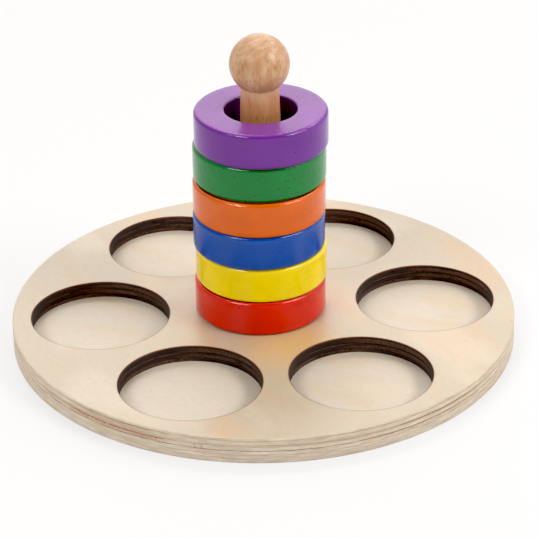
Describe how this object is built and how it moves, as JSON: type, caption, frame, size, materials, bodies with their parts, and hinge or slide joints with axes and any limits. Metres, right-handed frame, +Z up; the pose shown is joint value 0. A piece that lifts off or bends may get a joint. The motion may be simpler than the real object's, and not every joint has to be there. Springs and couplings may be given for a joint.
{
  "type": "ring sorting tower",
  "caption": "Stack of painted wooden rings on a ball-headed peg, standing on a round plywood board with a ring of round pockets to sort them into.",
  "frame": {"origin": "centre of the board's underside, where it rests", "axes": "+Z up the peg, +X from the peg towards the centre of pocket_1"},
  "size_m": [0.25, 0.25, 0.1585],
  "materials": {
    "birch_ply_base": "matte",
    "birch_ply_top": "matte",
    "turned_beech": "satin",
    "screw_steel": "satin",
    "red_paint": "gloss",
    "yellow_paint": "gloss",
    "blue_paint": "gloss",
    "orange_paint": "gloss",
    "green_paint": "gloss",
    "purple_paint": "gloss"
  },
  "bodies": {
    "board": {"base_board": "birch_ply_base", "top_board": "birch_ply_top", "peg": "turned_beech", "peg_screw": "screw_steel"},
    "red_ring": {"red_ring": "red_paint"},
    "yellow_ring": {"yellow_ring": "yellow_paint"},
    "blue_ring": {"blue_ring": "blue_paint"},
    "orange_ring": {"orange_ring": "orange_paint"},
    "green_ring": {"green_ring": "green_paint"},
    "purple_ring": {"purple_ring": "purple_paint"}
  },
  "joints": [
    {"name": "red_ring_lift", "type": "slide", "parent": "board", "child": "red_ring", "axis": [0, 0, 1], "range_m": [0, 0.1475]},
    {"name": "yellow_ring_lift", "type": "slide", "parent": "red_ring", "child": "yellow_ring", "axis": [0, 0, 1], "range_m": [0, 0.1295]},
    {"name": "blue_ring_lift", "type": "slide", "parent": "yellow_ring", "child": "blue_ring", "axis": [0, 0, 1], "range_m": [0, 0.1115]},
    {"name": "orange_ring_lift", "type": "slide", "parent": "blue_ring", "child": "orange_ring", "axis": [0, 0, 1], "range_m": [0, 0.0935]},
    {"name": "green_ring_lift", "type": "slide", "parent": "orange_ring", "child": "green_ring", "axis": [0, 0, 1], "range_m": [0, 0.0755]},
    {"name": "purple_ring_lift", "type": "slide", "parent": "green_ring", "child": "purple_ring", "axis": [0, 0, 1], "range_m": [0, 0.0575]}
  ]
}
